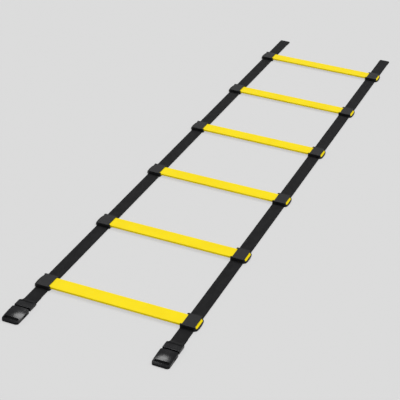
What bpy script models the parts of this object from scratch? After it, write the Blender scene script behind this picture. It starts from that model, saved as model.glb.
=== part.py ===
"""Agility ladder: six flat rungs clipped across two woven straps, with a buckle on each.

The ladder lies flat on the floor. +Y runs along the ladder, +X across it, +Z up.
The origin is on the floor, in the middle of the ladder. All sizes are in metres.
"""

import math

import bmesh
import bpy
from mathutils import Vector

# Layout of the ladder
RUNG_COUNT = 6
RUNG_PITCH = 0.380        # from one rung to the next, along the straps
STRAP_GAUGE = 0.430       # from the middle of one strap to the middle of the other
END_REACH = 0.210         # from the last rung's middle to the tip of either end

# Clearances
SEAT_GAP = 0.0003         # between pieces that touch
FLOOR_PLAY = 0.00015      # under the doubled webbing
CUT_OVERRUN = 0.001       # how far a cutter runs past the face that it opens

# Woven straps
WEB_WIDTH = 0.040
WEB_THICKNESS = 0.0018
FOLD_GAP = 0.0003         # between two lengths of strap that meet at a fold
LOOP_SEAM = 0.038         # webbing folded back at the near end, from the bar's middle
LOOP_RUN = 0.014          # length over which the webbing rises to the loop
HEM_SEAM = 0.036          # webbing folded under at the far end
HEM_CORNER_RADIUS = 0.008

# Rungs
RUNG_WIDTH = 0.050
RUNG_THICKNESS = 0.006
RUNG_CORNER_RADIUS = 0.006
RUNG_EDGE_ROUND = 0.0012
RUNG_END_SLOPE = 0.0054   # how much shorter a rung is above than below, at each end
RUNG_SHOW = 0.0031        # how far a rung's end reaches past the clip's cover

# Clips
CLIP_CHEEK = 0.0047       # wall before and behind the rung
CLIP_SIDE_WALL = 0.002    # wall beside the strap
CLIP_MID_WALL = 0.0012    # wall between the strap and the rung
CLIP_COVER = 0.002        # wall over the rung
CLIP_COVER_SETBACK = 0.0055  # from the clip's inner side to the cover's edge
CLIP_COVER_STOP = 0.0021  # from the clip's outer side to the cover's edge
CLIP_CORNER_RADIUS = 0.004
CLIP_OUTER_RADIUS = 0.0045
CLIP_TRAY = 0.0061        # how far the tray reaches past the cover at the outer end
CLIP_TRAY_BOW = 0.0013    # how much of that is the bow of its outer edge
CLIP_TRAY_RADIUS = 0.009
CLIP_TRAY_INSET = 0.0015  # from the clip's ends to the tray's
CLIP_TRAY_LIFT = 0.0003
CLIP_LIP = 0.0022         # lip round the rung's end, above the pocket's floor
CLIP_EDGE_ROUND = 0.0011
STRAP_PLAY = 0.00035      # above and below the strap in its channel
STRAP_SIDE_PLAY = 0.0005  # beside the strap in its channel

# The bar that the webbing's near end is looped round
BAR_RADIUS = 0.002
BAR_PLAY = 0.00035
BAR_SIDES = 16

# Buckle plug, measured from its end at the strap
PLUG_LENGTH = 0.042
PLUG_RAIL = 0.0034        # width of the rails beside the strap
PLUG_HEIGHT = 0.0112
PLUG_LIFT = 0.0004        # under the plug's body
PLUG_WINDOW_END = 0.013
PLUG_WINDOW_PLAY = 0.0006  # between the strap's edge and a rail
PLUG_BAR_ROOT = 0.0012    # how deep the bar's ends are rooted in the rails
PLUG_NECK_LENGTH = 0.006
PLUG_NECK_PLAY = 0.0004   # at either end of the neck, from the socket's inner side
PLUG_NECK_STEP = 0.003    # how far the neck lies below the plug's top and above its base
PLUG_EDGE_ROUND = 0.001
PLUG_RAIL_RISE = 0.006    # from the bar to where the frame has its full height
PLUG_ROOT = 0.0015        # how deep the neck is rooted in the frame, and the blade in the neck
BLADE_LENGTH = 0.027
BLADE_WIDTH = 0.007
BLADE_THICKNESS = 0.004

# Buckle socket, measured from its mouth
SOCKET_LENGTH = 0.0637
SOCKET_CHEEK = 0.0044     # beside the webbing slot
SOCKET_HEIGHT = 0.0122    # at the crown, along the middle
SOCKET_CROWN = 0.0016     # how far the top falls from there to the sides
SOCKET_NOSE_LENGTH = 0.048  # over which the top falls towards the tip
SOCKET_NOSE_FALL = 0.0052
SOCKET_WALL = 0.0022      # under the cavity
SOCKET_ROOF = 0.0029      # over the cavity, along the middle
SOCKET_SIDE_WALL = 0.0036
SOCKET_CAVITY_LENGTH = 0.039
SOCKET_MOUTH_RADIUS = 0.003
SOCKET_TIP_RADIUS = 0.008
SOCKET_EDGE_ROUND = 0.0022
SOCKET_SLOT_START = 0.0472
SOCKET_SLOT_LENGTH = 0.009
SOCKET_SLOT_PLAY = 0.0006  # between the slot's end and the edge of webbing put through it
SOCKET_SLOT_RADIUS = 0.0015
WINDOW_START = 0.0133
WINDOW_LENGTH = 0.0162

# Prongs of the plug
PRONG_ROOT_RADIUS = 0.0024
PRONG_ROOT_INSET = 0.0074  # from the socket's inner side to the root's pivot
PRONG_THICKNESS = 0.005
PRONG_ARM = 0.0046         # width of the arm
PRONG_PLAY = 0.0008        # between the arm or the catch and the socket
PRONG_WINDOW_PLAY = 0.0006  # above and below the head in the socket's side window
PRONG_SHOW = 0.0004        # how far the head stays inside the socket's outer side
PRONG_HEAD = 0.0075        # straight length of the head
PRONG_TIP = 0.010          # length of the slanted tip
PRONG_TIP_WIDTH = 0.0025
PRONG_EDGE_ROUND = 0.0004

# Facets
CORNER_STEPS = 4          # in a quarter circle
LOOP_STEPS = 12           # round a loop of webbing
BOW_STEPS = 6             # along the outer edge of a clip
CROWN_STEPS = 10          # across the socket's crown
NOSE_STEPS = 8            # along the socket's nose

# Colours, with roughness and metallic value
YELLOW_PLASTIC = ("yellow_plastic", (0.94, 0.76, 0.02), 0.38, 0.0)
BLACK_CLIP = ("black_clip_plastic", (0.028, 0.028, 0.030), 0.45, 0.0)
BLACK_GLOSS = ("black_buckle_plastic", (0.020, 0.020, 0.022), 0.25, 0.0)
BLACK_WEBBING = ("black_webbing", (0.022, 0.022, 0.024), 0.90, 0.0)

# Heights above the floor, from the floor up
STRAP_BOTTOM = FLOOR_PLAY + WEB_THICKNESS
STRAP_TOP = STRAP_BOTTOM + WEB_THICKNESS
CHANNEL_FLOOR = STRAP_BOTTOM - STRAP_PLAY
CHANNEL_ROOF = STRAP_TOP + STRAP_PLAY
POCKET_FLOOR = CHANNEL_ROOF + CLIP_MID_WALL
RUNG_BOTTOM = POCKET_FLOOR + SEAT_GAP
RUNG_TOP = RUNG_BOTTOM + RUNG_THICKNESS
POCKET_ROOF = RUNG_TOP + SEAT_GAP
CLIP_TOP = POCKET_ROOF + CLIP_COVER
EYE_RADIUS = BAR_RADIUS + BAR_PLAY
LOOP_RADIUS = EYE_RADIUS + WEB_THICKNESS
BAR_HEIGHT = FLOOR_PLAY + LOOP_RADIUS

# Widths and lengths that follow
CLIP_HALF_WIDTH = WEB_WIDTH / 2 + STRAP_SIDE_PLAY + CLIP_SIDE_WALL
CLIP_HALF_LENGTH = RUNG_WIDTH / 2 + SEAT_GAP + CLIP_CHEEK
RUNG_LENGTH = STRAP_GAUGE + 2 * (CLIP_HALF_WIDTH + RUNG_SHOW)
PLUG_WINDOW_WIDTH = WEB_WIDTH + 2 * PLUG_WINDOW_PLAY
PLUG_WIDTH = PLUG_WINDOW_WIDTH + 2 * PLUG_RAIL
SOCKET_SLOT_WIDTH = WEB_WIDTH + 2 * SOCKET_SLOT_PLAY
SOCKET_WIDTH = SOCKET_SLOT_WIDTH + 2 * SOCKET_CHEEK
SOCKET_CAVITY_WIDTH = SOCKET_WIDTH - 2 * SOCKET_SIDE_WALL
PLUG_NECK_WIDTH = SOCKET_CAVITY_WIDTH - 2 * PLUG_NECK_PLAY
PRONG_ROOT_OFFSET = SOCKET_CAVITY_WIDTH / 2 - PRONG_ROOT_INSET
BUCKLE_LENGTH = PLUG_LENGTH + SEAT_GAP + SOCKET_LENGTH
BAR_SETBACK = BAR_HEIGHT  # the rails' ends are round about the bar
RUNG_PLACES = [(i - (RUNG_COUNT - 1) / 2) * RUNG_PITCH for i in range(RUNG_COUNT)]
FOLD_PLACES = [(a + b) / 2 for a, b in zip(RUNG_PLACES, RUNG_PLACES[1:])]
SIDES = {"left": -STRAP_GAUGE / 2, "right": STRAP_GAUGE / 2}
NEAR_TIP = RUNG_PLACES[0] - END_REACH
FAR_TIP = RUNG_PLACES[-1] + END_REACH
BUCKLE_START = NEAR_TIP + BUCKLE_LENGTH
BUCKLE_PIVOT = BUCKLE_START - BAR_SETBACK


def clear_scene():
    for thing in list(bpy.data.objects):
        bpy.data.objects.remove(thing, do_unlink=True)


def material(finish):
    name, colour, roughness, metallic = finish
    made = bpy.data.materials.get(name) or bpy.data.materials.new(name)
    made.use_nodes = True
    shader = made.node_tree.nodes["Principled BSDF"]
    shader.inputs["Base Color"].default_value = (*colour, 1.0)
    shader.inputs["Roughness"].default_value = roughness
    shader.inputs["Metallic"].default_value = metallic
    made.diffuse_color = (*colour, 1.0)
    return made


def link(name, data=None):
    made = bpy.data.objects.new(name, data)
    bpy.context.scene.collection.objects.link(made)
    return made


def world_place(thing):
    """Where an unturned object stands, through all its parents."""
    place = Vector(thing.location)
    while thing.parent:
        thing = thing.parent
        place += thing.location
    return place


def stand(name, mesh, finish, place, parent):
    """Put a finished mesh in the scene as a named piece under its parent."""
    made = link(name, mesh)
    if not mesh.materials:
        mesh.materials.append(material(finish))
    made.parent = parent
    made.location = Vector(place) - world_place(parent)
    return made


def pivot(name, place, parent=None):
    """An empty on a joint's axis."""
    made = link(name)
    made.parent = parent
    made.location = Vector(place) - (world_place(parent) if parent else Vector())
    return made


def arc(centre, radius, start, end, steps):
    """Points along an arc, both ends included. Angles are in degrees."""
    points = []
    for step in range(steps + 1):
        angle = math.radians(start + (end - start) * step / steps)
        points.append(
            (centre[0] + radius * math.cos(angle), centre[1] + radius * math.sin(angle))
        )
    return points


def bow(half_chord, rise):
    """The radius and half the angle, in degrees, of an arc that rises so far over its chord."""
    radius = (half_chord**2 + rise**2) / (2 * rise)
    return radius, math.degrees(math.asin(half_chord / radius))


def round_box(low, high, radii, steps=CORNER_STEPS):
    """A rectangle's outline with a radius, or none, for each corner, from low-low going round."""
    corners = [
        (low[0], low[1], 180),
        (high[0], low[1], 270),
        (high[0], high[1], 0),
        (low[0], high[1], 90),
    ]
    points = []
    for (x, y, start), radius in zip(corners, radii):
        inward_x = radius if x == low[0] else -radius
        inward_y = radius if y == low[1] else -radius
        if radius:
            points += arc((x + inward_x, y + inward_y), radius, start, start + 90, steps)
        else:
            points.append((x, y))
    return points


def box_outline(low, high):
    return [(low[0], low[1]), (high[0], low[1]), (high[0], high[1]), (low[0], high[1])]


def loft(rings):
    """A solid through rings of points. Where there are more than two, its faces are triangles."""
    shape = bmesh.new()
    loops = [[shape.verts.new(point) for point in ring] for ring in rings]
    shape.faces.new(loops[0])
    shape.faces.new(loops[-1])
    for loop, following in zip(loops, loops[1:]):
        for i in range(len(loop)):
            j = (i + 1) % len(loop)
            shape.faces.new((loop[i], loop[j], following[j], following[i]))
    if len(rings) > 2:
        bmesh.ops.triangulate(shape, faces=shape.faces)
    bmesh.ops.recalc_face_normals(shape, faces=shape.faces)
    mesh = bpy.data.meshes.new("shape")
    shape.to_mesh(mesh)
    shape.free()
    return mesh


def prism(outline, low, high, view="plan"):
    """Extrude an outline: a plan along Z, a side view (Y, Z) along X, a front view (X, Z) along Y."""
    rings = []
    for depth in (low, high):
        if view == "plan":
            rings.append([(a, b, depth) for a, b in outline])
        elif view == "side":
            rings.append([(depth, a, b) for a, b in outline])
        else:
            rings.append([(a, depth, b) for a, b in outline])
    return loft(rings)


def cylinder_across(length, radius, sides, y, z):
    """A round bar along X."""
    step = 360 / sides
    outline = arc((y, z), radius, step / 2, 360 - step / 2, sides - 1)
    return prism(outline, -length / 2, length / 2, view="side")


def shaped(mesh, edge_round=0.0, segments=2, add=(), cut=(), common=()):
    """Round a mesh's sharp edges, then combine it with other meshes, and return the result."""
    body = link("body", mesh)
    helpers = []
    if edge_round:
        bevel = body.modifiers.new("edges", "BEVEL")
        bevel.width = edge_round
        bevel.segments = segments
        bevel.limit_method = "ANGLE"
        bevel.angle_limit = math.radians(50)
    for operation, meshes in (("UNION", add), ("DIFFERENCE", cut), ("INTERSECT", common)):
        for other in meshes:
            helper = link("helper", other)
            helpers.append(helper)
            step = body.modifiers.new("step", "BOOLEAN")
            step.operation = operation
            step.solver = "EXACT"
            step.object = helper
    bpy.context.view_layer.update()
    depsgraph = bpy.context.evaluated_depsgraph_get()
    result = bpy.data.meshes.new_from_object(body.evaluated_get(depsgraph))
    for thing in [body, *helpers]:
        bpy.data.objects.remove(thing, do_unlink=True)
    return result


def smooth(mesh, angle=35):
    mesh.shade_smooth()
    mesh.set_sharp_from_angle(angle=math.radians(angle))
    return mesh


def rung_mesh():
    half_width = RUNG_WIDTH / 2
    rings = []
    for half_length, height in (
        (RUNG_LENGTH / 2, RUNG_BOTTOM),
        (RUNG_LENGTH / 2 - RUNG_END_SLOPE, RUNG_TOP),
    ):
        outline = round_box(
            (-half_length, -half_width), (half_length, half_width), [RUNG_CORNER_RADIUS] * 4
        )
        rings.append([(x, y, height) for x, y in outline])
    return smooth(shaped(loft(rings), RUNG_EDGE_ROUND))


def clip_mesh(outward):
    """A sleeve: the strap runs through its lower channel and the rung ends in its pocket.

    A low tray reaches out past the cover, and the rung's end lies in it.
    outward is +1 for a clip whose outer side faces +X, and -1 for one that faces -X.
    """

    def plan(low, high, inner_radius, outer_radius):
        outline = round_box(low, high, [inner_radius, outer_radius, outer_radius, inner_radius])
        return [(outward * x, y) for x, y in outline]

    sleeve = prism(
        plan(
            (-CLIP_HALF_WIDTH, -CLIP_HALF_LENGTH),
            (CLIP_HALF_WIDTH, CLIP_HALF_LENGTH),
            CLIP_CORNER_RADIUS,
            CLIP_OUTER_RADIUS,
        ),
        0,
        CLIP_TOP,
    )
    tray_end = CLIP_HALF_WIDTH + CLIP_TRAY
    tray_half = CLIP_HALF_LENGTH - CLIP_TRAY_INSET
    outline = plan((0, -tray_half), (tray_end - CLIP_TRAY_BOW, tray_half), 0, CLIP_TRAY_RADIUS)
    bow_radius, bow_angle = bow(tray_half - CLIP_TRAY_RADIUS, CLIP_TRAY_BOW)
    edge = arc((tray_end - bow_radius, 0), bow_radius, -bow_angle, bow_angle, BOW_STEPS)
    outer_half = len(outline) // 2
    outline[outer_half:outer_half] = [(outward * x, y) for x, y in edge[1:-1]]
    tray = shaped(prism(outline, CLIP_TRAY_LIFT, POCKET_FLOOR + CLIP_LIP), CLIP_EDGE_ROUND)
    channel_half = WEB_WIDTH / 2 + STRAP_SIDE_PLAY
    channel_end = CLIP_HALF_LENGTH + CUT_OVERRUN
    channel = prism(
        box_outline((-channel_half, -channel_end), (channel_half, channel_end)),
        CHANNEL_FLOOR,
        CHANNEL_ROOF,
    )
    pocket_half = RUNG_WIDTH / 2 + SEAT_GAP
    open_end = -CLIP_HALF_WIDTH - CUT_OVERRUN
    pocket = prism(
        plan(
            (open_end, -pocket_half),
            (CLIP_HALF_WIDTH + RUNG_SHOW + SEAT_GAP, pocket_half),
            0,
            RUNG_CORNER_RADIUS + SEAT_GAP,
        ),
        POCKET_FLOOR,
        POCKET_ROOF,
    )
    notch_end = CLIP_COVER_SETBACK - CLIP_HALF_WIDTH
    notch = prism(
        plan((open_end, -pocket_half), (notch_end, pocket_half), 0, 0),
        POCKET_ROOF - CUT_OVERRUN,
        CLIP_TOP + CUT_OVERRUN,
    )
    outer_notch = prism(
        plan(
            (CLIP_HALF_WIDTH - CLIP_COVER_STOP, -pocket_half),
            (CLIP_HALF_WIDTH + CUT_OVERRUN, pocket_half),
            0,
            0,
        ),
        POCKET_ROOF - CUT_OVERRUN,
        CLIP_TOP + CUT_OVERRUN,
    )
    rounded = shaped(sleeve, CLIP_EDGE_ROUND)
    return smooth(shaped(rounded, add=(tray,), cut=(channel, pocket, notch, outer_notch)))


def plain_strap_mesh(start, end):
    """A length of strap from one fold to the next, about the middle of the length."""
    half = (end - start) / 2 - FOLD_GAP / 2
    outline = box_outline((-half, STRAP_BOTTOM), (half, STRAP_TOP))
    return prism(outline, -WEB_WIDTH / 2, WEB_WIDTH / 2, view="side")


def looped_strap_mesh(loop, fold):
    """The near end length of strap, folded back round a bar at loop and sewn to itself.

    Both places are along Y, and the mesh is made about the fold.
    """
    eye = loop - fold
    rise = (LOOP_RUN, STRAP_TOP - BAR_HEIGHT)
    lift = math.atan2(rise[1], rise[0]) + math.acos(LOOP_RADIUS / math.hypot(*rise))
    start = math.degrees(lift)
    # the two layers part where the upper one's underside meets the lower one
    inner = (LOOP_RUN - WEB_THICKNESS * math.cos(lift), STRAP_TOP - WEB_THICKNESS * math.sin(lift))
    parting = inner[0] + (inner[1] - STRAP_BOTTOM) * math.tan(lift)
    outline = [
        (-FOLD_GAP / 2, STRAP_BOTTOM),
        (-FOLD_GAP / 2, STRAP_TOP),
        (eye + LOOP_RUN, STRAP_TOP),
    ]
    outline += arc((eye, BAR_HEIGHT), LOOP_RADIUS, start, 270, LOOP_STEPS)
    outline += [(eye + LOOP_SEAM, FLOOR_PLAY), (eye + LOOP_SEAM, STRAP_BOTTOM)]
    strap = prism(outline, -WEB_WIDTH / 2, WEB_WIDTH / 2, view="side")
    opening = [(eye + parting, STRAP_BOTTOM)]
    opening += arc((eye, BAR_HEIGHT), EYE_RADIUS, start, 270, LOOP_STEPS)
    half = WEB_WIDTH / 2 + CUT_OVERRUN
    return smooth(shaped(strap, cut=(prism(opening, -half, half, view="side"),)))


def hemmed_strap_mesh(fold, tip):
    """The far end length of strap, folded under itself and sewn flat, about the fold."""
    end = tip - fold
    outline = [
        (FOLD_GAP / 2, STRAP_TOP),
        (FOLD_GAP / 2, STRAP_BOTTOM),
        (end - HEM_SEAM, STRAP_BOTTOM),
        (end - HEM_SEAM, FLOOR_PLAY),
    ]
    outline += arc((end - WEB_THICKNESS, STRAP_BOTTOM), WEB_THICKNESS, -90, 90, 2 * CORNER_STEPS)
    half = WEB_WIDTH / 2
    strap = prism(outline, -half, half, view="side")
    plan = round_box((-half, 0), (half, end), [0, 0, HEM_CORNER_RADIUS, HEM_CORNER_RADIUS])
    return smooth(shaped(strap, common=(prism(plan, 0, STRAP_TOP + CUT_OVERRUN),)))


def plug_mesh():
    """The buckle half on the strap, about its bar; it points to -Y."""
    start = BAR_SETBACK
    end = BAR_SETBACK - PLUG_LENGTH
    shoulder = end + PLUG_NECK_LENGTH
    # side view of the frame, round about the bar at the strap's end
    outline = arc((0, BAR_HEIGHT), BAR_SETBACK - PLUG_LIFT, -90, 90, 2 * CORNER_STEPS)
    outline += [(-PLUG_RAIL_RISE, PLUG_HEIGHT), (shoulder, PLUG_HEIGHT), (shoulder, PLUG_LIFT)]
    block = prism(outline, -PLUG_WIDTH / 2, PLUG_WIDTH / 2, view="side")
    window_half = PLUG_WINDOW_WIDTH / 2
    window = prism(
        box_outline((-window_half, start - PLUG_WINDOW_END), (window_half, start + CUT_OVERRUN)),
        -CUT_OVERRUN,
        PLUG_HEIGHT + CUT_OVERRUN,
    )
    frame = shaped(block, PLUG_EDGE_ROUND, cut=(window,))
    neck = prism(
        box_outline((-PLUG_NECK_WIDTH / 2, end), (PLUG_NECK_WIDTH / 2, shoulder + PLUG_ROOT)),
        PLUG_LIFT + PLUG_NECK_STEP,
        PLUG_HEIGHT - PLUG_NECK_STEP,
    )
    bar_length = PLUG_WINDOW_WIDTH + 2 * PLUG_BAR_ROOT
    bar = cylinder_across(bar_length, BAR_RADIUS, BAR_SIDES, 0, BAR_HEIGHT)
    blade_middle = SOCKET_HEIGHT / 2
    blade = prism(
        box_outline((-BLADE_WIDTH / 2, end - BLADE_LENGTH), (BLADE_WIDTH / 2, end + PLUG_ROOT)),
        blade_middle - BLADE_THICKNESS / 2,
        blade_middle + BLADE_THICKNESS / 2,
    )
    return smooth(shaped(frame, add=(neck, bar, blade)))


def socket_mesh():
    """The buckle half that the plug clicks into, about the middle of its mouth."""
    half = SOCKET_WIDTH / 2
    outline = round_box(
        (-half, -SOCKET_LENGTH),
        (half, 0),
        [SOCKET_TIP_RADIUS, SOCKET_TIP_RADIUS, SOCKET_MOUTH_RADIUS, SOCKET_MOUTH_RADIUS],
    )
    block = prism(outline, 0, SOCKET_HEIGHT + CUT_OVERRUN)
    crown_radius, crown_angle = bow(half, SOCKET_CROWN)
    arch = arc(
        (0, SOCKET_HEIGHT - crown_radius), crown_radius,
        90 - crown_angle, 90 + crown_angle, CROWN_STEPS,
    )
    arch += [(-half, -CUT_OVERRUN), (half, -CUT_OVERRUN)]
    nose_start = SOCKET_NOSE_LENGTH - SOCKET_LENGTH
    nose_places = [nose_start - SOCKET_NOSE_LENGTH * i / NOSE_STEPS for i in range(NOSE_STEPS + 1)]
    rings = []
    for y in [CUT_OVERRUN, *nose_places, -SOCKET_LENGTH - CUT_OVERRUN]:
        fall = SOCKET_NOSE_FALL * (min(y - nose_start, 0) / SOCKET_NOSE_LENGTH) ** 2
        rings.append([(x, y, z * (1 - fall / SOCKET_HEIGHT)) for x, z in arch])
    arched = loft(rings)
    shell = shaped(shaped(block, common=(arched,)), SOCKET_EDGE_ROUND, 3)
    cavity_half = SOCKET_CAVITY_WIDTH / 2
    cavity = prism(
        box_outline((-cavity_half, -SOCKET_CAVITY_LENGTH), (cavity_half, CUT_OVERRUN)),
        SOCKET_WALL,
        SOCKET_HEIGHT - SOCKET_ROOF,
    )
    middle = SOCKET_HEIGHT / 2
    window_half_height = PRONG_THICKNESS / 2 + PRONG_WINDOW_PLAY
    windows = prism(
        box_outline(
            (-half - CUT_OVERRUN, -WINDOW_START - WINDOW_LENGTH), (half + CUT_OVERRUN, -WINDOW_START)
        ),
        middle - window_half_height,
        middle + window_half_height,
    )
    slot = prism(
        round_box(
            (-SOCKET_SLOT_WIDTH / 2, -SOCKET_SLOT_START - SOCKET_SLOT_LENGTH),
            (SOCKET_SLOT_WIDTH / 2, -SOCKET_SLOT_START),
            [SOCKET_SLOT_RADIUS] * 4,
        ),
        -CUT_OVERRUN,
        SOCKET_HEIGHT + CUT_OVERRUN,
    )
    return smooth(shaped(shell, cut=(cavity, windows, slot)))


def prong_mesh(side):
    """One springy arm of the plug, about the pivot at its root; it points to -Y."""
    head_side = SOCKET_WIDTH / 2 - PRONG_SHOW - PRONG_ROOT_OFFSET
    catch = WINDOW_START + PRONG_PLAY - PRONG_ROOT_RADIUS
    arm_side = PRONG_ROOT_INSET - PRONG_PLAY
    head_end = catch + PRONG_HEAD
    tip_end = head_end + PRONG_TIP
    root = arc((0, 0), PRONG_ROOT_RADIUS, 180, 0, 2 * CORNER_STEPS)
    outline = [(x, -y) for x, y in root]
    outline += [
        (arm_side, catch),
        (head_side, catch),
        (head_side, head_end),
        (arm_side - PRONG_PLAY, tip_end - PRONG_TIP_WIDTH / 2),
        (arm_side - PRONG_PLAY - PRONG_TIP_WIDTH, tip_end),
        (arm_side - PRONG_ARM, head_end),
        (arm_side - PRONG_ARM, catch),
    ]
    outline = [(side * x, -y) for x, y in outline]
    middle = SOCKET_HEIGHT / 2
    arm = prism(outline, middle - PRONG_THICKNESS / 2, middle + PRONG_THICKNESS / 2)
    return smooth(shaped(arm, PRONG_EDGE_ROUND, 1))


def build_panels():
    """One empty for each stretch between folds, each on the fold that it turns about."""
    panels = [pivot("panel_1_root", (0, RUNG_PLACES[0], 0))]
    for number, place in enumerate(FOLD_PLACES, start=2):
        height = STRAP_TOP if number % 2 == 0 else STRAP_BOTTOM
        panels.append(pivot(f"panel_{number}_fold", (0, place, height), panels[-1]))
    return panels


def build_straps(panels):
    """Each side's strap, in lengths that meet at the folds."""
    for side, x in SIDES.items():
        near = looped_strap_mesh(BUCKLE_PIVOT, FOLD_PLACES[0])
        stand(f"strap_{side}_1", near, BLACK_WEBBING, (x, FOLD_PLACES[0], 0), panels[0])
        for i in range(1, RUNG_COUNT - 1):
            start, end = FOLD_PLACES[i - 1], FOLD_PLACES[i]
            length = plain_strap_mesh(start, end)
            middle = (x, (start + end) / 2, 0)
            stand(f"strap_{side}_{i + 1}", length, BLACK_WEBBING, middle, panels[i])
        far = hemmed_strap_mesh(FOLD_PLACES[-1], FAR_TIP)
        place = (x, FOLD_PLACES[-1], 0)
        stand(f"strap_{side}_{RUNG_COUNT}", far, BLACK_WEBBING, place, panels[-1])


def build_rungs(panels):
    """Each rung slides along the straps with its two clips."""
    rung = rung_mesh()
    clips = {"left": clip_mesh(-1), "right": clip_mesh(1)}
    for i, y in enumerate(RUNG_PLACES):
        slider = pivot(f"rung_{i + 1}_slide", (0, y, 0), panels[i])
        stand(f"rung_{i + 1}", rung, YELLOW_PLASTIC, (0, y, 0), slider)
        for side, x in SIDES.items():
            stand(f"clip_{side}_{i + 1}", clips[side], BLACK_CLIP, (x, y, 0), slider)


def build_buckles(panel):
    """At the near end: a plug on each strap's loop, with its socket clicked on."""
    plug, socket = plug_mesh(), socket_mesh()
    prongs = {"a": (-1, prong_mesh(-1)), "b": (1, prong_mesh(1))}
    mouth = BUCKLE_START - PLUG_LENGTH - SEAT_GAP
    for side, x in SIDES.items():
        swing = pivot(f"buckle_{side}_pivot", (x, BUCKLE_PIVOT, BAR_HEIGHT), panel)
        stand(f"buckle_plug_{side}", plug, BLACK_GLOSS, (x, BUCKLE_PIVOT, 0), swing)
        stand(f"buckle_socket_{side}", socket, BLACK_GLOSS, (x, mouth, 0), swing)
        for letter, (way, prong) in prongs.items():
            place = (x + way * PRONG_ROOT_OFFSET, mouth - PRONG_ROOT_RADIUS, 0)
            stand(f"buckle_prong_{side}_{letter}", prong, BLACK_GLOSS, place, swing)


def build_ladder():
    clear_scene()
    panels = build_panels()
    build_straps(panels)
    build_rungs(panels)
    build_buckles(panels[0])


build_ladder()
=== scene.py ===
"""Looks for the agility ladder: webbing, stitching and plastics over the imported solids."""

import math

import bmesh
import bpy
from mathutils import Matrix, Vector


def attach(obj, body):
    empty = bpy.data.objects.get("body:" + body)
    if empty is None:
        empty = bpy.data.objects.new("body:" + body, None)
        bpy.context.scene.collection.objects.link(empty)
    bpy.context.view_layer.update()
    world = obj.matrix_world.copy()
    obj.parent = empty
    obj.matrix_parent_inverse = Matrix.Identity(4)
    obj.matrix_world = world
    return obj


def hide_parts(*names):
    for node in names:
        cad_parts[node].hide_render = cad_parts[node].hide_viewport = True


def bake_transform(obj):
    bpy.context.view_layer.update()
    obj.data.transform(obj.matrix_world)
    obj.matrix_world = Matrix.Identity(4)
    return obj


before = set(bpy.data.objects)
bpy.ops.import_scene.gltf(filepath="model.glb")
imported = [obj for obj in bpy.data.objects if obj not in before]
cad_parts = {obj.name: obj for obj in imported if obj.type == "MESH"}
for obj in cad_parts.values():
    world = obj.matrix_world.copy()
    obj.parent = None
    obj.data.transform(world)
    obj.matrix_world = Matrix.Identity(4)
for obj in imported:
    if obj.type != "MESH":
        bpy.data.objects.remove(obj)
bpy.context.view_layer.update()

# Layout, as in the part's source, in metres
RUNG_COUNT = 6
RUNG_PITCH = 0.380
STRAP_GAUGE = 0.430
RUNG_PLACES = [(i - (RUNG_COUNT - 1) / 2) * RUNG_PITCH for i in range(RUNG_COUNT)]
FOLD_PLACES = [(a + b) / 2 for a, b in zip(RUNG_PLACES, RUNG_PLACES[1:])]
SIDES = {"left": -STRAP_GAUGE / 2, "right": STRAP_GAUGE / 2}
FAR_TIP = 1.160
BAR_PLACE = (-1.0583, 0.0043)   # y and z of the bar that each loop goes round

# Webbing, in metres
WEB_WIDTH = 0.040
WEB_THICKNESS = 0.0018          # the room that one layer takes
WEB_BODY = 0.00176              # the webbing itself, so that folded layers don't touch
LOWER_LAYER = 0.00105           # the middle of each layer, above the floor
UPPER_LAYER = 0.00285
LOOP_RADIUS = 0.00325           # from the bar's middle to the middle of the webbing
LOOP_RUN = 0.014                # from the bar to where the upper layer leaves its level
LOOP_SEAM = 0.038               # from the bar to the lower layer's end
HEM_SEAM = 0.036                # from the far tip to the lower layer's end
HEM_CORNER_RADIUS = 0.008
BEND_HALF = 0.010               # half the length that bends at a fold
BEND_MARGIN = 0.002             # how far the short steps go on past the bend
BEND_STEPS = 24
LEVEL_STEP = 0.019              # between the rings of a level run
LEVEL_GAP = 0.004               # from its last ring to where the rise to the bar starts
RISE_EASE = (0.0015, 0.0001)    # the ring between: how far before the rise, and how high
RISE_SHARES = (0.12, 0.35, 0.6, 0.85)
UNDER_SHARES = (0.1, 0.25, 0.5, 0.75, 0.985, 1.0)
HEM_PLACES = (0.02, 0.01, 0.0005, 0.0)   # the last rings, from the hem's cut end
LOOP_STEPS = 22
HEM_STEPS = 12
CORNER_STEPS = 8
WIDTH_STEPS = 12
EDGE_ANGLES = (30, 60, 90, 120, 150)

# Weave, in metres
YARN_WIDTH = 0.0016
YARN_LENGTH = 0.0026
SELVEDGE_START = 0.0178         # from the webbing's middle
SELVEDGE_FULL = 0.0186
SELVEDGE_CORD = 0.0013

# Sewing, in metres
STITCH_LENGTH = 0.0031
STITCH_SHARE = 0.93             # of the stitch's length, with thread showing
THREAD_HALF_WIDTH = 0.00036
THREAD_HALF_HEIGHT = 0.00026
UNDER_SINK = 0.00014            # how deep the stitches on the underside lie
SEAM_HALF_WIDTH = 0.0165
NEAR_SEAM_START = 0.0165        # from the bar
SEAM_MARGIN = 0.0025            # from the lower layer's end
TIP_MARGIN = 0.0045             # from the far tip

# Edges of the solids, in metres and degrees
WELD_REACH = 0.000002
FLAT_ANGLE = 0.3
SOLID_EDGE = 0.00025
SHARP_ANGLE = 50
SMOOTH_ANGLE = 35

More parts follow.
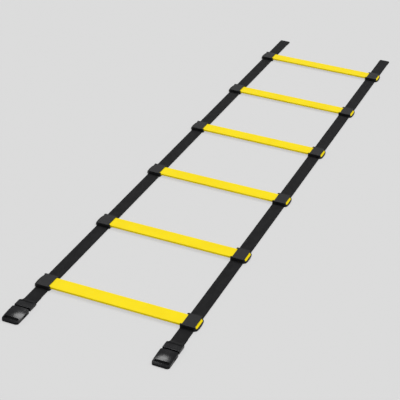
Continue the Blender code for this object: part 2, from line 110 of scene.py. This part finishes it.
# Colours
RUNG_DEEP, RUNG_LIGHT = (0.925, 0.715, 0.002), (0.95, 0.75, 0.003)
RUNG_SCUFFED, RUNG_RUBBED = (0.97, 0.87, 0.16), (0.96, 0.88, 0.24)
CLIP_DEEP, CLIP_LIGHT = (0.010, 0.010, 0.011), (0.015, 0.015, 0.016)
CLIP_RUBBED = (0.08, 0.08, 0.084)
BUCKLE_DEEP, BUCKLE_LIGHT = (0.003, 0.003, 0.004), (0.005, 0.005, 0.006)
BUCKLE_RUBBED = (0.06, 0.06, 0.064)
WEB_DEEP, WEB_LIGHT = (0.014, 0.014, 0.015), (0.020, 0.020, 0.021)
# The second colour is painted shade: the dark that the low places between the yarns take
WEB_SELVEDGE, WEB_GAP_SHADE = (0.007, 0.007, 0.008), (0.002, 0.002, 0.002)
# Painted shade and light along the thread's twist: the first for its grooves, the second for its
# ridges
THREAD_GROOVE_SHADE, THREAD_RIDGE_LIGHT = (0.010, 0.010, 0.011), (0.034, 0.034, 0.036)
FLOOR_GREY = 0.715

# The photograph's camera, in metres, degrees and millimetres
CAMERA_PLACE = (1.1092, -3.4151, 1.8119)
CAMERA_YAW = 19.927
CAMERA_PITCH = 28.679
CAMERA_ROLL = 3.938
CAMERA_LENS = 107.51
SENSOR = 36.0

# Light: levels on the floor, and degrees
BACKGROUND = 0.708
SKY = 0.44
SUN = 0.46
SUN_ELEVATION = 62.0
SUN_AZIMUTH = 48.0
SUN_SPREAD = 44.0
GLINT = 0.13
GLINT_ELEVATION = 47.0
GLINT_AZIMUTH = -27.5
GLINT_SPREAD = 11.0
SHADOW = 0.22                   # how much of its shadow the floor shows

# The floor, in metres
FLOOR_REACH = 40.0
FLOOR_DROP = 0.0002             # below the ladder's underside


def link(name, data):
    made = bpy.data.objects.new(name, data)
    bpy.context.scene.collection.objects.link(made)
    return made


def finished_mesh(name, shape):
    """A mesh object from a bmesh, with its normals outward."""
    bmesh.ops.recalc_face_normals(shape, faces=shape.faces)
    mesh = bpy.data.meshes.new(name)
    shape.to_mesh(mesh)
    shape.free()
    return link(name, mesh)


def grey(level):
    return (level, level, level, 1.0)


class Tree:
    """The nodes of a material or the world, built from calls that pass sockets and numbers."""

    def __init__(self, owner):
        owner.use_nodes = True
        self.owner = owner
        self.nodes = owner.node_tree.nodes
        self.links = owner.node_tree.links

    def put(self, socket, value):
        if isinstance(value, bpy.types.NodeSocket):
            self.links.new(value, socket)
        else:
            socket.default_value = value

    def add(self, kind, inputs=(), **settings):
        made = self.nodes.new(kind)
        for name, value in settings.items():
            setattr(made, name, value)
        for key, value in dict(inputs).items():
            self.put(made.inputs[key], value)
        return made

    def place(self):
        return self.add("ShaderNodeTexCoord").outputs["Object"]

    def math(self, operation, *values, clamp=False):
        made = self.add("ShaderNodeMath", operation=operation, use_clamp=clamp)
        for socket, value in zip(made.inputs, values):
            self.put(socket, value)
        return made.outputs[0]

    def product(self, first, *others):
        for value in others:
            first = self.math("MULTIPLY", first, value)
        return first

    def scaled(self, vector, scale):
        made = self.add("ShaderNodeVectorMath", operation="MULTIPLY")
        self.put(made.inputs[0], vector)
        made.inputs[1].default_value = scale
        return made.outputs[0]

    def noise(self, vector, scale=1.0, detail=2.0, roughness=0.5):
        inputs = {"Vector": vector, "Scale": scale, "Detail": detail, "Roughness": roughness}
        return self.add("ShaderNodeTexNoise", inputs).outputs[0]

    def spread(self, value, low, high, start=0.0, end=1.0):
        """A smooth step of value from low to high, as start to end."""
        inputs = {"Value": value, "From Min": low, "From Max": high, "To Min": start, "To Max": end}
        made = self.add("ShaderNodeMapRange", inputs, interpolation_type="SMOOTHSTEP")
        return made.outputs[0]

    def colour(self, factor, first, second):
        made = self.add("ShaderNodeMix", data_type="RGBA")
        self.put(made.inputs[0], factor)
        for socket, value in ((made.inputs[6], first), (made.inputs[7], second)):
            self.put(socket, (*value, 1.0) if isinstance(value, tuple) else value)
        return made.outputs[2]

    def bump(self, height, distance, strength, normal=None):
        inputs = {"Height": height, "Distance": distance, "Strength": strength}
        made = self.add("ShaderNodeBump", inputs)
        if normal:
            self.put(made.inputs["Normal"], normal)
        return made.outputs[0]

    def rubbed(self, base, pale, share, radius, edges, patches, cover):
        """The base colour, paler in patches along sharp edges."""
        rounded = self.add("ShaderNodeBevel", {"Radius": radius}, samples=6).outputs[0]
        plain = self.add("ShaderNodeNewGeometry").outputs["Normal"]
        facing = self.add("ShaderNodeVectorMath", operation="DOT_PRODUCT")
        self.put(facing.inputs[0], rounded)
        self.put(facing.inputs[1], plain)
        flat, sharp = edges
        wear = self.spread(facing.outputs["Value"], flat, sharp)
        return self.colour(self.product(wear, self.spread(patches, *cover), share), base, pale)

    def viewers(self):
        """1 for rays that see the background: the camera's, reflections and through glass."""
        rays = self.add("ShaderNodeLightPath").outputs
        seen = self.math("MAXIMUM", rays["Is Camera Ray"], rays["Is Glossy Ray"])
        return self.math("MAXIMUM", seen, rays["Is Transmission Ray"])

    def finish(self, **inputs):
        shader = self.nodes["Principled BSDF"]
        for name, value in inputs.items():
            self.put(shader.inputs[name.replace("_", " ")], value)
        return self.owner


def new_material(name):
    return Tree(bpy.data.materials.new(name))


def yellow_plastic():
    """Satin moulded plastic with faint drag lines along the rung, grain and rubbed edges."""
    t = new_material("rung_yellow_plastic")
    place = t.place()
    cloud = t.noise(place, scale=14.0, detail=4.0, roughness=0.55)
    lines = t.noise(t.scaled(place, (6.0, 240.0, 60.0)), detail=3.0, roughness=0.6)
    drags = t.noise(t.scaled(place, (60.0, 700.0, 100.0)), detail=4.0, roughness=0.7)
    scuffs = t.spread(drags, 0.60, 0.72)
    base = t.colour(t.spread(cloud, 0.35, 0.65), RUNG_DEEP, RUNG_LIGHT)
    base = t.colour(t.product(scuffs, 0.30), base, RUNG_SCUFFED)
    base = t.rubbed(
        base, RUNG_RUBBED, share=0.5, radius=0.0012, edges=(0.995, 0.90),
        patches=t.noise(place, scale=90.0, detail=4.0, roughness=0.6), cover=(0.42, 0.62),
    )
    rough = t.math("ADD", t.spread(lines, 0.3, 0.7, 0.34, 0.44), t.product(scuffs, 0.12))
    grain = t.noise(place, scale=1700.0, detail=2.0, roughness=0.6)
    streaked = t.bump(lines, distance=0.0002, strength=0.5)
    normal = t.bump(grain, distance=0.0001, strength=0.6, normal=streaked)
    return t.finish(
        Base_Color=base, Roughness=rough, Normal=normal, IOR=1.49, Specular_IOR_Level=0.05
    )


def clip_plastic():
    """Black moulded plastic with a spark-eroded grain and rubbed edges."""
    t = new_material("clip_black_plastic")
    place = t.place()
    cloud = t.noise(place, scale=60.0, detail=4.0, roughness=0.6)
    base = t.colour(t.spread(cloud, 0.35, 0.65), CLIP_DEEP, CLIP_LIGHT)
    base = t.rubbed(
        base, CLIP_RUBBED, share=0.4, radius=0.0011, edges=(0.99, 0.86),
        patches=t.noise(place, scale=220.0, detail=4.0, roughness=0.65), cover=(0.40, 0.64),
    )
    grain = t.add("ShaderNodeTexVoronoi", {"Vector": place, "Scale": 1500.0}).outputs["Distance"]
    rough = t.spread(cloud, 0.3, 0.7, 0.36, 0.48)
    normal = t.bump(grain, distance=0.00016, strength=0.8)
    return t.finish(
        Base_Color=base, Roughness=rough, Normal=normal, IOR=1.49, Specular_IOR_Level=0.09
    )


def buckle_plastic():
    """Glossy black moulded plastic with faint hairlines, smudges and rubbed edges."""
    t = new_material("buckle_black_plastic")
    place = t.place()
    smudge = t.noise(place, scale=75.0, detail=4.0, roughness=0.6)
    drags = t.noise(t.scaled(place, (900.0, 90.0, 300.0)), detail=3.0, roughness=0.7)
    hairs = t.spread(drags, 0.60, 0.74)
    base = t.colour(t.spread(smudge, 0.35, 0.65), BUCKLE_DEEP, BUCKLE_LIGHT)
    base = t.rubbed(
        base, BUCKLE_RUBBED, share=0.35, radius=0.0012, edges=(0.99, 0.86),
        patches=t.noise(place, scale=200.0, detail=4.0, roughness=0.65), cover=(0.42, 0.64),
    )
    rough = t.math("ADD", t.spread(smudge, 0.3, 0.7, 0.15, 0.19), t.product(hairs, 0.03))
    waves = t.noise(place, scale=420.0, detail=2.0, roughness=0.5)
    normal = t.bump(waves, distance=0.00003, strength=0.1)
    return t.finish(
        Base_Color=base, Roughness=rough, Normal=normal, IOR=1.5, Specular_IOR_Level=0.11
    )


def webbing_material():
    """Woven black webbing: columns of staggered yarns with closer selvedges, and painted shade in
    the low places between yarns and cords.
    """
    t = new_material("webbing_weave")
    weave = t.add("ShaderNodeUVMap", uv_map="weave").outputs[0]
    parts = t.add("ShaderNodeSeparateXYZ", {0: weave})
    across, along = parts.outputs[0], parts.outputs[1]
    columns = t.product(across, 1 / YARN_WIDTH)
    column = t.math("FLOOR", columns)
    middle = t.math("SUBTRACT", t.math("SUBTRACT", columns, column), 0.5)
    stagger = t.product(t.math("MODULO", t.math("ABSOLUTE", column), 2.0), 0.5)
    rows = t.math("ADD", t.product(along, 1 / YARN_LENGTH), stagger)
    row_middle = t.math("SUBTRACT", t.math("FRACT", rows), 0.5)
    side = t.product(middle, middle, 3.6)
    ends = t.product(t.math("POWER", t.math("ABSOLUTE", row_middle), 3.0), 7.0)
    yarn = t.math("SUBTRACT", 1.0, t.math("ADD", side, ends), clamp=True)
    fibres = t.noise(t.scaled(weave, (9000.0, 900.0, 1.0)), detail=2.0, roughness=0.6)
    worn = t.noise(t.scaled(weave, (60.0, 30.0, 1.0)), detail=4.0, roughness=0.6)
    selvedge = t.spread(t.math("ABSOLUTE", across), SELVEDGE_START, SELVEDGE_FULL)
    cords = t.math("ABSOLUTE", t.math("SINE", t.product(along, math.pi / SELVEDGE_CORD)))
    height = t.add("ShaderNodeMix", {0: selvedge, 2: yarn, 3: cords}, data_type="FLOAT").outputs[0]
    # Painted shade: where the weave lies low, between yarns and cords, the colour darkens towards
    # the gap shade; fibre streaks also vary the tone
    shade = t.product(t.spread(height, 0.0, 0.8, 0.35, 1.0), t.spread(fibres, 0.2, 0.8, 0.75, 1.2))
    base = t.colour(t.spread(worn, 0.35, 0.65), WEB_DEEP, WEB_LIGHT)
    black = t.colour(t.product(selvedge, 0.5), base, WEB_SELVEDGE)
    base = t.colour(t.math("SUBTRACT", 1.0, shade, clamp=True), black, WEB_GAP_SHADE)
    fuzz = t.noise(t.scaled(weave, (2600.0, 2600.0, 1.0)), detail=2.0, roughness=0.7)
    woven = t.bump(height, distance=0.00035, strength=0.8)
    normal = t.bump(fibres, distance=0.00006, strength=0.5, normal=woven)
    return t.finish(
        Base_Color=base, Roughness=t.spread(fuzz, 0.2, 0.8, 0.66, 0.86), Normal=normal,
        IOR=1.45, Specular_IOR_Level=0.06, Sheen_Weight=0.03, Sheen_Roughness=0.45,
    )


def thread_material():
    """Black sewing thread with its twist, its grooves painted darker as shade and its ridges
    painted lighter.
    """
    t = new_material("thread_twisted")
    wave = {"Vector": t.place(), "Scale": 900.0, "Distortion": 1.0}
    twist = t.add("ShaderNodeTexWave", wave, bands_direction="DIAGONAL").outputs[0]
    # The twist's bands give both the bump and painted shade and light in the colour
    return t.finish(
        Base_Color=t.colour(twist, THREAD_GROOVE_SHADE, THREAD_RIDGE_LIGHT), Roughness=0.6,
        Normal=t.bump(twist, distance=0.0001, strength=0.6), IOR=1.45,
        Specular_IOR_Level=0.1, Sheen_Weight=0.05,
    )


def floor_material():
    """Matt and pale. What looks at it sees the background through it, and part of the shadow.

    Lamps shine through it on what hangs below it when a fold turns downwards.
    """
    t = new_material("floor_pale")
    material = t.finish(Base_Color=grey(FLOOR_GREY), Roughness=1.0, Specular_IOR_Level=0.0)
    lit = t.nodes["Principled BSDF"].outputs[0]
    clear = t.add("ShaderNodeBsdfTransparent").outputs[0]
    shadow_rays = t.add("ShaderNodeLightPath").outputs["Is Shadow Ray"]
    share = t.math("MAXIMUM", t.product(t.viewers(), 1 - SHADOW), shadow_rays)
    both = t.add("ShaderNodeMixShader", {0: share, 1: lit, 2: clear})
    t.put(t.nodes["Material Output"].inputs["Surface"], both.outputs[0])
    return material


def straight(y_start, y_end, z, bend):
    """Points on a level run of webbing, with short steps where it bends."""
    steps = max(1, round(abs(y_end - y_start) / LEVEL_STEP))
    places = {round(y_start + (y_end - y_start) * i / steps, 6) for i in range(steps + 1)}
    low, high = bend - BEND_HALF - BEND_MARGIN, bend + BEND_HALF + BEND_MARGIN
    places = {p for p in places if not low < p < high}
    places |= {round(low + (high - low) * i / BEND_STEPS, 6) for i in range(BEND_STEPS + 1)}
    return [(y, z) for y in sorted(places, reverse=y_end < y_start)]


def turn(centre, radius, start, end, steps):
    """Points on an arc in the YZ plane, its angles in degrees from +Y towards +Z."""
    points = []
    for i in range(steps + 1):
        angle = math.radians(start + (end - start) * i / steps)
        points.append((centre[0] + radius * math.cos(angle), centre[1] + radius * math.sin(angle)))
    return points


def near_end_path():
    """From the second rung to the bar, round it and back under as far as the seam."""
    y, z = BAR_PLACE
    rise = (LOOP_RUN, UPPER_LAYER - z)
    lift = math.degrees(math.atan2(rise[1], rise[0]) + math.acos(LOOP_RADIUS / math.hypot(*rise)))
    level_end = y + LOOP_RUN
    path = straight(RUNG_PLACES[1], level_end + LEVEL_GAP, UPPER_LAYER, FOLD_PLACES[0])
    path.append((level_end + RISE_EASE[0], UPPER_LAYER + RISE_EASE[1]))
    slope_end = turn(BAR_PLACE, LOOP_RADIUS, lift, lift, 1)[0]
    for share in RISE_SHARES:
        path.append((
            level_end + (slope_end[0] - level_end) * share,
            UPPER_LAYER + (slope_end[1] - UPPER_LAYER) * share,
        ))
    path += turn(BAR_PLACE, LOOP_RADIUS, lift, 270, LOOP_STEPS)
    path += [(y + LOOP_SEAM * share, LOWER_LAYER) for share in UNDER_SHARES]
    return path


def far_end_path():
    """From the fifth rung to the tip and folded back under as far as the hem's seam."""
    tip = FAR_TIP - WEB_THICKNESS
    path = straight(RUNG_PLACES[-2], FAR_TIP - HEM_CORNER_RADIUS, UPPER_LAYER, FOLD_PLACES[-1])
    corner = [
        tip - (HEM_CORNER_RADIUS - WEB_THICKNESS) * (1 - i / CORNER_STEPS)
        for i in range(1, CORNER_STEPS)
    ]
    path += [(y, UPPER_LAYER) for y in corner]
    fold = (tip, (UPPER_LAYER + LOWER_LAYER) / 2)
    path += turn(fold, WEB_THICKNESS / 2, 90, -90, HEM_STEPS)
    path += [(y, LOWER_LAYER) for y in reversed(corner)]
    seam = FAR_TIP - HEM_SEAM
    return path + [(seam + left, LOWER_LAYER) for left in HEM_PLACES]


def half_width(y):
    """Half the webbing's width, less where the far tip's corners are rounded off."""
    inward = HEM_CORNER_RADIUS - (FAR_TIP - y)
    if inward <= 0:
        return WEB_WIDTH / 2
    return WEB_WIDTH / 2 - HEM_CORNER_RADIUS + math.sqrt(max(HEM_CORNER_RADIUS**2 - inward**2, 0))


def web_section():
    """The webbing's section: flat faces with round edges, as points across it and up."""
    half, edge = WEB_WIDTH / 2, WEB_BODY / 2
    flat = half - edge
    across = [flat - i * 2 * flat / WIDTH_STEPS for i in range(WIDTH_STEPS + 1)]
    angles = [math.radians(a) for a in EDGE_ANGLES]
    section = [(a, edge) for a in across]
    section += [(-flat - edge * math.sin(a), edge * math.cos(a)) for a in angles]
    section += [(-a, -edge) for a in across]
    section += [(flat + edge * math.sin(a), -edge * math.cos(a)) for a in angles]
    return section


def ribbon(name, x, path):
    """Webbing swept along a path in the YZ plane; its weave is measured along the path."""
    shape = bmesh.new()
    weave = shape.loops.layers.uv.new("weave")
    section = web_section()
    forward = path[1][0] > path[0][0]
    rings, marks, length = [], [], path[0][0]
    for i, (y, z) in enumerate(path):
        before, after = path[max(i - 1, 0)], path[min(i + 1, len(path) - 1)]
        along = Vector((after[0] - before[0], after[1] - before[1])).normalized()
        up = Vector((-along[1], along[0])) if forward else Vector((along[1], -along[0]))
        if i:
            step = math.hypot(y - path[i - 1][0], z - path[i - 1][1])
            length += step if forward else -step
        narrow = half_width(y) / (WEB_WIDTH / 2)
        ring = [shape.verts.new((x + a * narrow, y + up[0] * b, z + up[1] * b)) for a, b in section]
        rings.append(ring)
        marks.append((length, narrow))
    count = len(section)
    for i in range(len(rings) - 1):
        for j in range(count):
            k = (j + 1) % count
            corners = ((i, j), (i, k), (i + 1, k), (i + 1, j))
            face = shape.faces.new([rings[m][n] for m, n in corners])
            face.smooth = True
            for loop, (m, n) in zip(face.loops, corners):
                loop[weave].uv = (section[n][0] * marks[m][1], marks[m][0])
    for i in (0, -1):
        face = shape.faces.new(rings[i])
        for loop, (a, b) in zip(face.loops, section):
            loop[weave].uv = (a * marks[i][1], marks[i][0] + b)
    made = finished_mesh(name, shape)
    made.data.materials.append(WEBBING)
    return made


def build_webbing():
    for side, x in SIDES.items():
        for i in range(RUNG_COUNT - 1):
            if i == 0:
                path = near_end_path()
            elif i == RUNG_COUNT - 2:
                path = far_end_path()
            else:
                path = straight(RUNG_PLACES[i], RUNG_PLACES[i + 1], UPPER_LAYER, FOLD_PLACES[i])
            made = ribbon(f"webbing_{side}_{i + 1}", x, path)
            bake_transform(made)
            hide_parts(f"strap_{side}_{i + 1}")
            if i == RUNG_COUNT - 2:
                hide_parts(f"strap_{side}_{RUNG_COUNT}")


def stitches(name, x, z, lines, body):
    """Rows of lockstitches lying on the webbing, from one point of each line to the next."""
    shape = bmesh.new()
    for line in lines:
        for start, end in zip(line, line[1:]):
            run = Vector((end[0] - start[0], end[1] - start[1], 0))
            count = max(1, round(run.length / STITCH_LENGTH))
            half = run.length / count / 2 * STITCH_SHARE
            size = Matrix.Diagonal((half, THREAD_HALF_WIDTH, THREAD_HALF_HEIGHT, 1))
            heading = Matrix.Rotation(math.atan2(run.y, run.x), 4, "Z")
            for i in range(count):
                middle = Vector((x + start[0], start[1], z)) + run * ((i + 0.5) / count)
                made = bmesh.ops.create_uvsphere(shape, u_segments=8, v_segments=6, radius=1.0)
                bmesh.ops.transform(
                    shape, matrix=Matrix.Translation(middle) @ heading @ size, verts=made["verts"]
                )
    for face in shape.faces:
        face.smooth = True
    made = finished_mesh(name, shape)
    made.data.materials.append(THREAD)
    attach(made, body)


def box_and_cross(low, high):
    half = SEAM_HALF_WIDTH
    return [
        [(-half, low), (half, low), (half, high), (-half, high), (-half, low)],
        [(-half, low), (half, high)],
        [(-half, high), (half, low)],
    ]


def build_stitching():
    top = UPPER_LAYER + WEB_THICKNESS / 2
    under = LOWER_LAYER - WEB_THICKNESS / 2 + UNDER_SINK
    bar = BAR_PLACE[0]
    near = box_and_cross(bar + NEAR_SEAM_START, bar + LOOP_SEAM - SEAM_MARGIN)
    far = box_and_cross(FAR_TIP - HEM_SEAM + SEAM_MARGIN, FAR_TIP - TIP_MARGIN)
    for side, x in SIDES.items():
        for name, lines, body in (("near", near, "panel_1"), ("far", far, f"panel_{RUNG_COUNT}")):
            stitches(f"stitching_{name}_top_{side}", x, top, lines, body)
            stitches(f"stitching_{name}_under_{side}", x, under, lines, body)


def smooth_by_angle(limit):
    """A modifier's nodes: shade smooth, but for edges sharper than the limit in degrees."""
    tree = bpy.data.node_groups.new("smooth_by_angle", "GeometryNodeTree")
    for way in ("INPUT", "OUTPUT"):
        tree.interface.new_socket("Geometry", in_out=way, socket_type="NodeSocketGeometry")
    plain = tree.nodes.new("GeometryNodeRemoveAttribute")
    plain.inputs["Name"].default_value = "custom_normal"
    faces = tree.nodes.new("GeometryNodeSetShadeSmooth")
    sharp = tree.nodes.new("FunctionNodeCompare")
    sharp.inputs["B"].default_value = math.radians(limit)
    edges = tree.nodes.new("GeometryNodeSetShadeSmooth")
    edges.domain = "EDGE"
    edges.inputs["Shade Smooth"].default_value = False
    angle = tree.nodes.new("GeometryNodeInputMeshEdgeAngle")
    tree.links.new(angle.outputs["Unsigned Angle"], sharp.inputs["A"])
    tree.links.new(sharp.outputs[0], edges.inputs["Selection"])
    start, end = tree.nodes.new("NodeGroupInput"), tree.nodes.new("NodeGroupOutput")
    chain = [start, plain, faces, edges, end]
    for first, second in zip(chain, chain[1:]):
        tree.links.new(first.outputs["Geometry"], second.inputs["Geometry"])
    return tree


def soften(node):
    """Join a solid's faces, break its sharp edges and shade its curved faces smooth."""
    joined = node.modifiers.new("joined", "WELD")
    joined.merge_threshold = WELD_REACH
    flat = node.modifiers.new("flat", "DECIMATE")
    flat.decimate_type = "DISSOLVE"
    flat.angle_limit = math.radians(FLAT_ANGLE)
    edges = node.modifiers.new("edges", "BEVEL")
    edges.width = SOLID_EDGE
    edges.segments = 2
    edges.limit_method = "ANGLE"
    edges.angle_limit = math.radians(SHARP_ANGLE)
    node.modifiers.new("smooth", "NODES").node_group = SMOOTH
    node.modifiers.new("shading", "WEIGHTED_NORMAL").keep_sharp = True


def dress_solids():
    finishes = {"rung_": YELLOW, "clip_": CLIP, "buckle_": BUCKLE}
    for name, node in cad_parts.items():
        for start, finish in finishes.items():
            if name.startswith(start):
                node.data.materials.clear()
                node.data.materials.append(finish)
                soften(node)


def build_camera():
    yaw, pitch, roll = (math.radians(a) for a in (CAMERA_YAW, CAMERA_PITCH, CAMERA_ROLL))
    ahead = Vector((
        -math.sin(yaw) * math.cos(pitch),
        math.cos(yaw) * math.cos(pitch),
        -math.sin(pitch),
    ))
    right = Vector((math.cos(yaw), math.sin(yaw), 0))
    up = right.cross(ahead)
    turned_right = math.cos(roll) * right + math.sin(roll) * up
    turned_up = -math.sin(roll) * right + math.cos(roll) * up
    turned = Matrix((turned_right, turned_up, -ahead)).transposed().to_4x4()
    lens = bpy.data.cameras.new("camera")
    lens.lens = CAMERA_LENS
    lens.sensor_width = SENSOR
    made = link("camera", lens)
    made.matrix_world = Matrix.Translation(CAMERA_PLACE) @ turned
    bpy.context.scene.camera = made


def build_lamp(name, level, elevation, azimuth, spread):
    """A far lamp that lights the floor to a level. Its azimuth is from +Y towards +X."""
    elevation, azimuth = math.radians(elevation), math.radians(azimuth)
    light = bpy.data.lights.new(name, "SUN")
    light.energy = math.pi * level / math.sin(elevation)
    light.angle = math.radians(spread)
    toward = Vector((
        math.sin(azimuth) * math.cos(elevation),
        math.cos(azimuth) * math.cos(elevation),
        math.sin(elevation),
    ))
    lamp = link(name, light)
    lamp.rotation_mode = "QUATERNION"
    lamp.rotation_quaternion = toward.to_track_quat("Z", "Y")


def build_floor():
    mesh = bpy.data.meshes.new("floor")
    reach = FLOOR_REACH
    corners = [(-reach, -reach, 0), (reach, -reach, 0), (reach, reach, 0), (-reach, reach, 0)]
    mesh.from_pydata(corners, [], [(0, 1, 2, 3)])
    mesh.materials.append(floor_material())
    floor = link("floor", mesh)
    floor.location.z = -FLOOR_DROP


def build_world():
    """Even light from above the horizon, and a plain pale background all round."""
    t = Tree(bpy.data.worlds.new("world"))
    t.nodes.clear()
    toward = t.add("ShaderNodeSeparateXYZ", {0: t.add("ShaderNodeTexCoord").outputs["Generated"]})
    above = t.math("GREATER_THAN", toward.outputs["Z"], 0.0)
    sky = t.add("ShaderNodeBackground", {0: grey(SKY), 1: above}).outputs[0]
    pale = t.add("ShaderNodeBackground", {0: grey(BACKGROUND)}).outputs[0]
    both = t.add("ShaderNodeMixShader", {0: t.viewers(), 1: sky, 2: pale})
    t.add("ShaderNodeOutputWorld", {0: both.outputs[0]})
    bpy.context.scene.world = t.owner


YELLOW = yellow_plastic()
CLIP = clip_plastic()
BUCKLE = buckle_plastic()
WEBBING = webbing_material()
THREAD = thread_material()
SMOOTH = smooth_by_angle(SMOOTH_ANGLE)

build_camera()
build_webbing()
build_stitching()
dress_solids()
build_floor()
build_lamp("sun", SUN, SUN_ELEVATION, SUN_AZIMUTH, SUN_SPREAD)
build_lamp("glint", GLINT, GLINT_ELEVATION, GLINT_AZIMUTH, GLINT_SPREAD)
build_world()
bpy.context.scene.view_settings.view_transform = "Standard"
